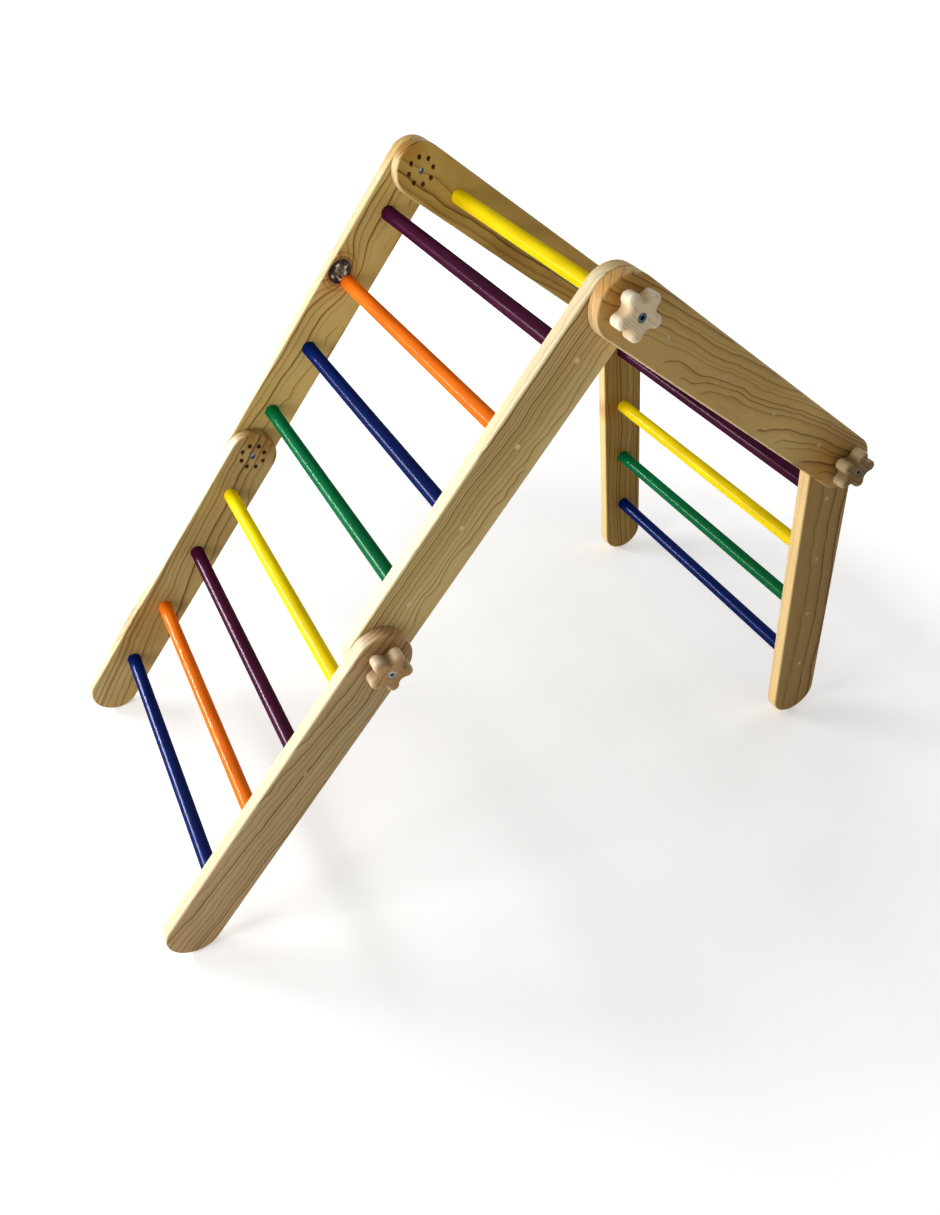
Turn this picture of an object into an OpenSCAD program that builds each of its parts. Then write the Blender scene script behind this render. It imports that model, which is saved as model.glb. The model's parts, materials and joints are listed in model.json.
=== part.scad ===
// Climbing frame for small children: four ladder sections, each of two pine side rails and
// painted rungs, joined end to end by star knobs. Rings of index holes round each joint let the
// sections be set every 45 degrees. Millimetres, X across the frame, Z up, feet on Z = 0.

/* [Sections] */
// Clear width between the two side rails of a section
clear_width = 580; // [400:10:800]
// Rungs in each section
rung_count = 4; // [3:1:6]
// Distance from one rung to the next
rung_pitch = 132; // [110:2:160]
// Distance from a joint or a foot centre to the nearest rung
end_to_rung = 85; // [82:1:110]

/* [Joint angles] */
// Inside angle between the lower ramp and the upper ramp
ramp_angle = 180; // [135:45:180]
// Inside angle at the top, between the upper ramp and the bridge
top_angle = 90; // [90:45:135]
// Inside angle between the bridge and the standing leg
leg_angle = 135; // [135:45:180]

/* [Side rails] */
// Width of a side rail, which is also the diameter of its round ends
rail_w = 90; // [80:1:98]
// Thickness of a side rail
rail_t = 24; // [22:1:30]
// Radius of the rounded long edges of a side rail
rail_edge_r = 3; // [1:0.5:5]
// Running gap between the two rails that meet at a joint
lane_gap = 0.4; // [0.3:0.1:2]

/* [Rungs] */
// Diameter of a rung
rung_d = 25; // [22:1:30]
// Depth of the blind socket that holds each end of a rung
socket_depth = 12; // [8:1:14]
// Clearance all round a rung in its socket
socket_gap = 0.1; // [0.05:0.05:0.3]
// Space left at the bottom of a socket for glue
glue_gap = 0.3; // [0.1:0.1:0.8]

/* [Rung screws and plugs] */
// Diameter of a screw's shank
screw_d = 4.5; // [4:0.5:5]
// Length of a screw under its head
screw_len = 45; // [30:5:60]
// Diameter of a screw's head
screw_head_d = 7.4; // [6.5:0.1:8]
// Height of a screw's head
screw_head_h = 3; // [2:0.5:3.5]
// Diameter of the wooden plug that covers a screw
plug_d = 8.2; // [8.2:0.1:10]
// Depth of the counterbore that takes the screw head and its plug
plug_bore_depth = 7; // [6:0.5:7.5]
// Clearance round plugs, screws and threaded inserts
fit_gap = 0.1; // [0.05:0.05:0.2]

/* [Joint hardware] */
// Diameter of the joint bolt
bolt_d = 8; // [6:1:8]
// Depth of the bolt's end below the inner rail's rung face
bolt_end_inset = 4.4; // [2:0.2:6]
// Diameter of the bolt's head
bolt_head_d = 13; // [12:0.5:14]
// Height of the bolt's head
bolt_head_h = 8; // [5:1:9]
// Width across the flats of the hexagon socket in the bolt's head
hex_w = 6; // [4:1:6]
// Depth of the hexagon socket
hex_depth = 4; // [2:0.5:4]
// Clearance all round the bolt where it runs through the outer rail
bolt_clearance = 0.5; // [0.4:0.1:1]
// Outside diameter of the threaded insert in the inner rail
insert_d = 12; // [11:0.5:14]
// Clearance all round the bolt in the threaded insert
thread_gap = 0.08; // [0.05:0.01:0.1]
// Depth of the insert's ends below the faces of the rail
insert_inset = 0.5; // [0.4:0.1:2]

/* [Index ring] */
// Radius of the ring of index holes
index_ring_r = 22; // [18:1:28]
// Diameter of a locking pin
pin_d = 8; // [6:1:8]
// Length of a locking pin
pin_len = 20; // [16:1:20]
// Space left at each end of a locking pin in its blind hole
pin_play = 0.3; // [0.3:0.1:0.6]
// Clearance all round a locking pin in its hole
pin_gap = 0.3; // [0.2:0.05:0.5]

/* [Star knob] */
// Thickness of a star knob's arms
knob_star_h = 22.5; // [20:0.5:26]
// Height of the round boss that holds the arms off the rail
knob_boss_h = 7; // [5:0.5:10]
// Diameter of the round boss
knob_boss_d = 30; // [26:1:34]
// Arms of a star knob
knob_arms = 5; // [5:1:6]
// Distance from the knob's centre to the centre of an arm's round end
knob_arm_reach = 24; // [22:1:28]
// Radius of an arm's round end
knob_arm_r = 9.5; // [7:0.5:10]
// Radius of the hollow between two arms
knob_hollow_r = 13; // [11:0.5:15]
// Gap between a knob and the side rail under it
knob_seat_gap = 0.3; // [0.3:0.1:1]
// Depth of the bolt's head below the knob's face
head_inset = 0.8; // [0.3:0.1:3]
// Turn of the knobs at the ramp joint
ramp_knob_turn = -12; // [-36:1:36]
// Turn of the knobs at the top joint
top_knob_turn = -25; // [-36:1:36]
// Turn of the knobs at the leg joint
leg_knob_turn = 8; // [-36:1:36]

/* [Hidden] */
$fn = 64;
eps = 1;
pine = "burlywood";
knob_wood = "wheat";
plug_wood = "moccasin";
// Paints of the rungs, which follow one another from the foot of the ramp over the top
paints = ["mediumblue", "darkorange", "indigo", "gold", "green"];
sections = ["lower_ramp", "upper_ramp", "bridge", "leg"];
joints = ["ramp_joint", "top_joint", "leg_joint"];
sides = ["left", "right"];
knob_turns = [ramp_knob_turn, top_knob_turn, leg_knob_turn];
// Index holes in a ring, one for each 45 degree step of the joint angles
index_count = 8;

pivot_span = 2 * end_to_rung + (rung_count - 1) * rung_pitch;
lane_pitch = rail_t + lane_gap;
turns = [0, ramp_angle - 180, ramp_angle + top_angle - 360, ramp_angle + top_angle + leg_angle - 540];
rise = sin(turns[0]) + sin(turns[1]) + sin(turns[2]) + sin(turns[3]);
run = cos(turns[0]) + cos(turns[1]) + cos(turns[2]) + cos(turns[3]);
// Slope of the lower ramp that brings both pairs of feet to the floor
lean = atan2(-rise, run);
headings = [for (turn = turns) lean + turn];
ring_step = 360 / index_count;
// Distances along a joint's bolt from the outer rail's rung face
knob_back = rail_t + knob_seat_gap;
knob_face = knob_back + knob_boss_h + knob_star_h;
bolt_top = knob_face - head_inset;
head_seat = bolt_top - bolt_head_h;
bolt_end = bolt_end_inset - rail_t - lane_gap;

// Y and Z of point i on the chain: 0 and 4 are the feet, 1 to 3 the joints
function chain_y(i) = i == 0 ? 0 : chain_y(i - 1) + pivot_span * cos(headings[i - 1]);
function chain_z(i) = i == 0 ? rail_w / 2 : chain_z(i - 1) + pivot_span * sin(headings[i - 1]);
function lane(s) = s % 2 == 0 ? 1 : -1;
// An outer rail carries the knobs, and an inner rail the index ring
function is_outer(s, side) = lane(s) * side > 0;

// Brings a section's own frame, with Y along the rails from its first joint, into place
module in_section(s) {
    translate([lane(s) * lane_pitch / 2, chain_y(s) - chain_y(4) / 2, chain_z(s)])
        rotate([headings[s], 0, 0])
            children();
}

// Brings a rail's own frame, with X from its rung face to its outer face, to one side
module on_side(side) {
    mirror([side < 0 ? 1 : 0, 0, 0])
        translate([clear_width / 2, 0, 0])
            children();
}

// A cylinder along X that starts at x
module rod(x, length, d) {
    translate([x, 0, 0])
        rotate([0, 90, 0])
            cylinder(h = length, d = d);
}

module at_rungs() {
    for (k = [0:rung_count - 1])
        translate([0, end_to_rung + k * rung_pitch, 0])
            children();
}

// Points round a joint at the angles of its index holes
module round_the_joint(angles) {
    for (a = angles)
        rotate([a, 0, 0])
            translate([0, index_ring_r, 0])
                children();
}

// Cross-section of a rail, all of it or the half that is turned to make a round end
module rail_section(half) {
    w = rail_w / 2;
    r = rail_edge_r;
    translate([half ? 0 : -w, r])
        square([half ? w : 2 * w, rail_t - 2 * r]);
    translate([half ? 0 : r - w, 0])
        square([half ? w - r : 2 * (w - r), rail_t]);
    for (x = half ? [w - r] : [r - w, w - r])
        for (y = [r, rail_t - r])
            translate([x, y])
                circle(r);
}

module rail_end(start_angle) {
    rotate([start_angle, 0, 0])
        rotate([90, 0, 90])
            rotate_extrude(angle = 180, $fn = 128)
                rail_section(true);
}

module rail_blank() {
    rotate([-90, -90, 0])
        linear_extrude(pivot_span)
            rail_section(false);
    rail_end(90);
    translate([0, pivot_span, 0])
        rail_end(-90);
}

module rail(s, side) {
    outer = is_outer(s, side);
    joint_ends = concat(s > 0 ? [0] : [], s < 3 ? [pivot_span] : []);
    color(pine)
        in_section(s)
            on_side(side)
                difference() {
                    rail_blank();
                    at_rungs() {
                        rod(-eps, socket_depth + eps, rung_d + 2 * socket_gap);
                        rod(0, rail_t, screw_d + 2 * fit_gap);
                        rod(rail_t - plug_bore_depth, plug_bore_depth + eps, plug_d);
                    }
                    for (y = joint_ends)
                        translate([0, y, 0])
                            if (outer) {
                                rod(-eps, rail_t + 2 * eps, bolt_d + 2 * bolt_clearance);
                                round_the_joint([0, 180])
                                    rod(-eps, pin_len + 2 * pin_play + eps, pin_d + 2 * pin_gap);
                            } else {
                                rod(-eps, rail_t + 2 * eps, insert_d + 2 * fit_gap);
                                round_the_joint([0:ring_step:359])
                                    rod(-eps, rail_t + 2 * eps, pin_d + 2 * pin_gap);
                            }
                }
}

module rung(s, k) {
    end_x = clear_width / 2 + socket_depth - glue_gap;
    tip_x = clear_width / 2 + rail_t - plug_bore_depth - screw_len - eps;
    color(paints[(s * rung_count + k) % len(paints)])
        in_section(s)
            translate([0, end_to_rung + k * rung_pitch, 0])
                difference() {
                    rod(-end_x, 2 * end_x, rung_d);
                    rod(tip_x, end_x, screw_d + 2 * fit_gap);
                    rod(-end_x - eps, end_x - tip_x + eps, screw_d + 2 * fit_gap);
                }
}

module screws(s) {
    seat_x = rail_t - plug_bore_depth;
    color("silver")
        in_section(s)
            for (side = [-1, 1])
                on_side(side)
                    at_rungs() {
                        rod(seat_x - screw_len, screw_len, screw_d);
                        rod(seat_x, screw_head_h, screw_head_d);
                    }
}

module plugs(s) {
    start_x = rail_t - plug_bore_depth + screw_head_h + glue_gap;
    color(plug_wood)
        in_section(s)
            for (side = [-1, 1])
                on_side(side)
                    at_rungs()
                        rod(start_x, rail_t - start_x, plug_d - 2 * fit_gap);
}

// The section whose rail is the outer one at joint j on the given side, and the other section
function outer_section(j, side) = is_outer(j, side) ? j : j + 1;
function inner_section(j, side) = is_outer(j, side) ? j + 1 : j;

// Brings a joint's own frame, with X outwards from the outer rail's rung face, into place
module at_joint(j, side, s) {
    in_section(s)
        translate([0, s == j ? pivot_span : 0, 0])
            on_side(side)
                children();
}

module knob_outline() {
    half_step = 180 / knob_arms;
    // Distance of a hollow's centre, so that its arc runs smoothly into the arms beside it
    across = knob_arm_reach * sin(half_step);
    hollow_reach = knob_arm_reach * cos(half_step) + sqrt(pow(knob_arm_r + knob_hollow_r, 2) - pow(across, 2));
    difference() {
        union() {
            polygon([for (i = [0:2 * knob_arms - 1])
                let (out = i % 2 == 0, reach = out ? knob_arm_reach : hollow_reach)
                    reach * [cos(i * half_step), sin(i * half_step)]]);
            for (i = [0:knob_arms - 1])
                rotate(2 * i * half_step)
                    translate([knob_arm_reach, 0])
                        circle(knob_arm_r);
        }
        for (i = [0:knob_arms - 1])
            rotate((2 * i + 1) * half_step)
                translate([hollow_reach, 0])
                    circle(knob_hollow_r);
    }
}

module knob(j, side) {
    color(knob_wood)
        at_joint(j, side, outer_section(j, side))
            difference() {
                union() {
                    rod(knob_back, knob_boss_h, knob_boss_d);
                    translate([knob_back + knob_boss_h, 0, 0])
                        rotate([knob_turns[j] - headings[outer_section(j, side)], 0, 0])
                            rotate([90, 0, 90])
                                linear_extrude(knob_star_h)
                                    knob_outline();
                }
                rod(rail_t, knob_face, bolt_d + 2 * fit_gap);
                rod(head_seat, knob_face, bolt_head_d + 2 * fit_gap);
            }
}

module bolt(j, side) {
    color("dimgray")
        at_joint(j, side, outer_section(j, side))
            difference() {
                union() {
                    rod(bolt_end, head_seat - bolt_end, bolt_d);
                    rod(head_seat, bolt_head_h, bolt_head_d);
                }
                translate([bolt_top - hex_depth, 0, 0])
                    rotate([0, 90, 0])
                        cylinder(h = hex_depth + eps, d = hex_w / cos(30), $fn = 6);
            }
}

module insert(j, side) {
    color("silver")
        at_joint(j, side, inner_section(j, side))
            difference() {
                rod(insert_inset, rail_t - 2 * insert_inset, insert_d);
                rod(0, rail_t, bolt_d + 2 * thread_gap);
            }
}

// Two pins, drawn back into the outer rail
module pins(j, side) {
    color("tan")
        at_joint(j, side, outer_section(j, side))
            round_the_joint([0, 180])
                rod(pin_play, pin_len, pin_d);
}

module draw(name) {
    children();
}

for (s = [0:3]) {
    draw(str(sections[s], "_left_rail")) rail(s, -1);
    draw(str(sections[s], "_right_rail")) rail(s, 1);
    for (k = [0:rung_count - 1])
        draw(str(sections[s], "_rung_", k + 1)) rung(s, k);
    draw(str(sections[s], "_screws")) screws(s);
    draw(str(sections[s], "_plugs")) plugs(s);
}
for (j = [0:2])
    for (i = [0, 1]) {
        draw(str(joints[j], "_", sides[i], "_knob")) knob(j, 2 * i - 1);
        draw(str(joints[j], "_", sides[i], "_bolt")) bolt(j, 2 * i - 1);
        draw(str(joints[j], "_", sides[i], "_insert")) insert(j, 2 * i - 1);
        draw(str(joints[j], "_", sides[i], "_pins")) pins(j, 2 * i - 1);
    }
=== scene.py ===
"""A child's climbing frame: four ladder sections of oiled pine and painted rungs, clamped by star knobs."""

import json
import math

import bmesh
import bpy
from mathutils import Matrix, Vector


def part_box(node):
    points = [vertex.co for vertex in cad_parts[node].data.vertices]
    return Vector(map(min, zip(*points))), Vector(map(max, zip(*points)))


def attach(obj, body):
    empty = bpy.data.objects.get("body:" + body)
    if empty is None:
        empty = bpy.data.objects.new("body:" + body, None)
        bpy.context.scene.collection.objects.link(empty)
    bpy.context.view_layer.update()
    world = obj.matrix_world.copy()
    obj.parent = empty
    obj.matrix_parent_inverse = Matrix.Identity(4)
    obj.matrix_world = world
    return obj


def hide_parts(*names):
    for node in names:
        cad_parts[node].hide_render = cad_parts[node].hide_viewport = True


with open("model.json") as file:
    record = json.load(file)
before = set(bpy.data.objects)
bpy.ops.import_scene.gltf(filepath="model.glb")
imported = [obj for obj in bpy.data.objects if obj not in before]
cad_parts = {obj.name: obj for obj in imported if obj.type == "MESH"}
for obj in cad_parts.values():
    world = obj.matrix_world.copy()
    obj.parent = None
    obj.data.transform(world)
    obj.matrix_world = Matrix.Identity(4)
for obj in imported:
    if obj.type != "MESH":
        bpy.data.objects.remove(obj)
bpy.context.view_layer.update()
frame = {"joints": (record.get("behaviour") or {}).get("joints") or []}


# Side rails.
# The eight side rails are planed pine boards with round ends and rounded-over edges, cut from
# knotty stock, bored for the rungs, the joint bolts and the locking pins, and rubbed with clear oil.

RAIL_WIDTH = 0.090
RAIL_EDGE_RADIUS = 0.003
RUNG_COUNT = 4
RUNG_PITCH = 0.132
END_TO_RUNG = 0.085
SOCKET_DEPTH = 0.012
SOCKET_RADIUS = 0.0126
SCREW_HOLE_RADIUS = 0.00235
PLUG_BORE_RADIUS = 0.0041
PLUG_BORE_DEPTH = 0.007
BOLT_HOLE_RADIUS = 0.0045
PIN_HOLE_RADIUS = 0.0043
PIN_HOLE_DEPTH = 0.0206
INSERT_HOLE_RADIUS = 0.0061
INDEX_RING_RADIUS = 0.022
INDEX_COUNT = 8
RIM_CHAMFER = 0.0004
PLANK_STEP = 1.1

SECTIONS = ("lower_ramp", "upper_ramp", "bridge", "leg")
JOINTS = ("ramp_joint", "top_joint", "leg_joint")
FOLDS = ("ramp_fold", "top_fold", "leg_fold")
SIDES = (("left", -1), ("right", 1))

# For each board: where the tree's heart ran, across it and under its rung face, and the spacing of
# the yearly rings; how fast they slant along it, how strong the highlight painted on its narrow edges
# is and how warm that painted highlight is; its shade
BOARDS = {
    "lower_ramp_left": ((-0.058, 0.072, 0.0080), (-0.055, 0.48, 0.25), (0.77, 0.82, 0.83)),
    "lower_ramp_right": ((0.060, -0.034, 0.0064), (-0.045, 0.48, 0.2), (0.85, 0.88, 1.08)),
    "upper_ramp_left": ((-0.030, -0.050, 0.0085), (0.014, 0.42, 0.0), (1.13, 1.20, 1.06)),
    "upper_ramp_right": ((-0.040, -0.026, 0.0042), (0.010, 0.42, 0.0), (1.20, 1.32, 1.45)),
    "bridge_left": ((0.028, 0.050, 0.0095), (0.016, 0.34, 0.0), (0.90, 0.84, 0.55)),
    "bridge_right": ((-0.040, -0.030, 0.0062), (-0.095, 0.58, 0.2), (1.00, 1.00, 0.93)),
    "leg_left": ((-0.110, -0.030, 0.0050), (0.008, 0.85, 1.0), (0.69, 0.66, 0.47)),
    "leg_right": ((-0.040, -0.030, 0.0185), (0.008, 0.82, 1.0), (0.59, 0.54, 0.43)),
}
# Knots in the rails: the rail, the distance along it, the place across it and the radius
KNOTS = (
    ("upper_ramp_left", 0.3575, 0.0235, 0.0200),
)
# Resin-rich, orange patches, and one of painted shade: as the knots, and how orange and how dark each one
# is
RESIN_AND_SHADE_PATCHES = (
    ("bridge_right", -0.034, 0.008, 0.048, 0.8, 0.0),
    ("bridge_right", 0.530, -0.022, 0.050, 0.8, 0.0),
    # This one darkens the face towards the leg joint
    ("bridge_right", 0.530, 0.004, 0.066, 0.3, 0.55),
    ("lower_ramp_right", 0.580, 0.000, 0.040, 0.45, 0.0),
    ("lower_ramp_right", 0.604, 0.012, 0.032, 0.60, 0.0),
    ("upper_ramp_right", 0.606, 0.016, 0.024, 0.5, 0.0),
    ("upper_ramp_left", 0.575, 0.020, 0.030, 0.8, 0.0),
    ("lower_ramp_left", 0.165, 0.016, 0.058, 0.6, 0.20),
    # Painted shade on the shaded top of the rim at the round end by the ramp joint
    ("lower_ramp_left", 0.606, -0.015, 0.027, 0.9, 0.50),
    ("lower_ramp_left", 0.601, 0.022, 0.019, 0.8, 0.25),
    ("bridge_left", -0.038, 0.020, 0.020, 0.8, 0.25),
    ("bridge_left", 0.230, -0.040, 0.040, 0.3, 0.30),
    ("leg_left", 0.215, -0.028, 0.020, 0.8, 0.0),
)


fold_at = {j["name"]: Vector((0.0, *j["pos_m"][1:])) for j in frame["joints"] if j["name"] in FOLDS}
ramp_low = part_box("lower_ramp_right_rail")[0]
leg_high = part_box("leg_right_rail")[1]
foot_rise = RAIL_WIDTH / 2
# The feet's and the joints' centres, along the frame from the foot of the ramp to the foot of the leg
chain = [Vector((0.0, ramp_low.y + foot_rise, foot_rise))]
chain += [fold_at[name] for name in FOLDS]
chain += [Vector((0.0, leg_high.y - foot_rise, foot_rise))]


def section_tilt(s):
    """How far a section is turned about X from lying level."""
    along = chain[s + 1] - chain[s]
    return math.atan2(along.z, along.y)


def section_place(s):
    """Takes a section's own frame, with Y along the rails from its first joint, into place."""
    return Matrix.Translation(chain[s]) @ Matrix.Rotation(section_tilt(s), 4, "X")


def section_length(s):
    return (chain[s + 1] - chain[s]).length


def is_outer(s, side):
    """Neighbouring sections are staggered, so that on each side every other rail is an outer one."""
    return (s % 2 == 0) == (side > 0)


def rail_faces(s, side_name, side):
    """The x of a rail's rung face and of its outer face."""
    low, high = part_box(f"{SECTIONS[s]}_{side_name}_rail")
    return (low.x, high.x) if side > 0 else (high.x, low.x)


def polar(radius, turn, centre=(0.0, 0.0)):
    return (centre[0] + radius * math.cos(turn), centre[1] + radius * math.sin(turn))


def circle(radius, steps, centre=(0.0, 0.0)):
    return [polar(radius, 2 * math.pi / steps * i, centre) for i in range(steps)]


def add_ring(bm, points, depth):
    """One loop of vertices at a depth along X."""
    return [bm.verts.new((depth, *point)) for point in points]


def join_rings(bm, first, second):
    count = len(first)
    for i in range(count):
        after = (i + 1) % count
        bm.faces.new((first[i], first[after], second[after], second[i]))


def join_rows(bm, loops):
    """Walls from each loop to the next."""
    for first, second in zip(loops, loops[1:]):
        join_rings(bm, first, second)


def fill_flat(bm, rings):
    """A flat face with the first ring as its border and the others as its holes."""
    pairs = [(ring[i - 1], ring[i]) for ring in rings for i in range(len(ring))]
    edges = [bm.edges.get(pair) or bm.edges.new(pair) for pair in pairs]
    bmesh.ops.triangle_fill(bm, use_beauty=True, use_dissolve=False, edges=edges)


def rounded_edge(inset, drop, steps):
    """Depths under a face and the insets there, from the face round an edge to its side."""
    turns = [math.pi / 2 * i / steps for i in range(steps + 1)]
    return [(drop * (1 - math.cos(t)), inset * (1 - math.sin(t))) for t in turns]


def new_object(name, data):
    made = bpy.data.objects.new(name, data)
    bpy.context.scene.collection.objects.link(made)
    return made


def vector_layers(bm, *names):
    return [bm.verts.layers.float_vector.new(name) for name in names]


def finish_mesh(bm, name, material, sharp_degrees=28.0):
    """Closes a bmesh into an object at the origin, with sharp corners kept sharp."""
    bmesh.ops.recalc_face_normals(bm, faces=bm.faces)
    limit = math.radians(sharp_degrees)
    for face in bm.faces:
        face.smooth = True
    for edge in bm.edges:
        if len(edge.link_faces) == 2 and edge.calc_face_angle(0.0) > limit:
            edge.smooth = False
    mesh = bpy.data.meshes.new(name)
    bm.to_mesh(mesh)
    bm.free()
    mesh.materials.append(material)
    piece = new_object(name, mesh)
    weighted = piece.modifiers.new("even_shading", "WEIGHTED_NORMAL")
    weighted.keep_sharp = True
    return piece


class Nodes:
    """A short hand for writing a node tree. A colour is given as red, green and blue."""

    def __init__(self, tree):
        self.tree = tree

    def add(self, kind, inputs=(), **settings):
        node = self.tree.nodes.new(kind)
        for key, value in settings.items():
            setattr(node, key, value)
        self.set(node, inputs)
        return node

    def set(self, node, inputs):
        for key, value in dict(inputs).items():
            self.feed(node.inputs[key], value)

    def feed(self, socket, value):
        if isinstance(value, bpy.types.NodeSocket):
            self.tree.links.new(value, socket)
        elif isinstance(value, bpy.types.Node):
            self.tree.links.new(value.outputs[0], socket)
        elif socket.type == "RGBA":
            socket.default_value = (*value, 1.0)
        else:
            socket.default_value = value

    def math(self, operation, a, b=0.0, c=0.0, clamp=False):
        inputs = {0: a, 1: b, 2: c}
        return self.add("ShaderNodeMath", inputs, operation=operation, use_clamp=clamp).outputs[0]

    def times(self, a, b, plus=None):
        """The product, and what is to be added to it, if anything."""
        if plus is None:
            return self.math("MULTIPLY", a, b)
        return self.math("MULTIPLY_ADD", a, b, plus)

    def minus(self, a, b, clamp=False):
        return self.math("SUBTRACT", a, b, clamp=clamp)

    def most(self, a, b):
        return self.math("MAXIMUM", a, b)

    def vector(self, operation, a, b=(0.0, 0.0, 0.0)):
        node = self.add("ShaderNodeVectorMath", {0: a, 1: b}, operation=operation)
        return node.outputs["Value" if operation == "LENGTH" else "Vector"]

    def scaled(self, vector, factors):
        return self.vector("MULTIPLY", vector, factors)

    def noise(self, vector, scale, detail=2.0, roughness=0.5, dimensions="3D"):
        inputs = {"Scale": scale, "Detail": detail, "Roughness": roughness}
        inputs["W" if dimensions == "1D" else "Vector"] = vector
        return self.add("ShaderNodeTexNoise", inputs, noise_dimensions=dimensions)

    def mix(self, factor, a, b, blend="MIX"):
        inputs = {"Factor": factor, 6: a, 7: b}
        return self.add("ShaderNodeMix", inputs, data_type="RGBA", blend_type=blend).outputs[2]

    def ramp(self, factor, stops):
        node = self.add("ShaderNodeValToRGB", {0: factor})
        elements = node.color_ramp.elements
        while len(elements) < len(stops):
            elements.new(0.5)
        for element, (position, level) in zip(elements, stops):
            element.position = position
            colour = level if isinstance(level, tuple) else (level, level, level)
            element.color = (*colour, 1.0)
        return node.outputs["Color"]

    def spread(self, value, low, high, to_low=0.0, to_high=1.0):
        return self.add("ShaderNodeMapRange", {0: value, 1: low, 2: high, 3: to_low, 4: to_high}).outputs[0]


def new_material(name, settings=()):
    material = bpy.data.materials.new(name)
    material.use_nodes = True
    material.node_tree.nodes.clear()
    nodes = Nodes(material.node_tree)
    shader = nodes.add("ShaderNodeBsdfPrincipled", settings)
    nodes.add("ShaderNodeOutputMaterial", {"Surface": shader})
    return material, nodes, shader


def plank_start(rail_name):
    """Where on one long imaginary plank a rail was cut, so that no two rails share a pattern."""
    return list(BOARDS).index(rail_name) * PLANK_STEP


def plank_spots(spots):
    """Places on the rails as places on the plank, each with its radius and what else it has."""
    return [((plank_start(rail) + distance, place, 0.0), *rest) for rail, distance, place, *rest in spots]


USUAL_SPACING = 0.0065
# Colours of the highlight painted on the narrow edges, from cool to warm
HIGHLIGHT_COOL = (0.95, 0.85, 0.62)
HIGHLIGHT_WARM = (1.0, 0.65, 0.29)
RESIN_ORANGE = (0.95, 0.71, 0.44)
RESIN_AND_SHADE_DARK = (0.45, 0.40, 0.32)
KNOT_HALO = (0.80, 0.56, 0.36)
KNOT_CORE = (0.135, 0.115, 0.075)
KNOT_BARK = (0.022, 0.012, 0.007)
# Colours in the mottled disc of a knot, from the low values of its noise to the high ones
KNOT_FLECKS = (
    (0.37, (0.014, 0.009, 0.007)), (0.43, (0.120, 0.105, 0.075)),
    (0.50, (0.028, 0.020, 0.015)), (0.535, (0.95, 0.86, 0.76)),
    (0.575, (0.90, 0.78, 0.66)), (0.61, (0.016, 0.011, 0.008)),
)
# Dark rings round a knot, by the distance from it
KNOT_RINGS = ((0.42, 0.0), (0.455, 0.8), (0.48, 0.0), (0.535, 0.0), (0.565, 0.5), (0.59, 0.0))
# How dark a ring's line is, from the ring's sharp end back into its summer wood
LINE_PROFILE = ((0.0, 0.80), (0.05, 1.0), (0.13, 0.78), (0.24, 0.28), (0.55, 0.07), (1.0, 0.0))


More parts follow.
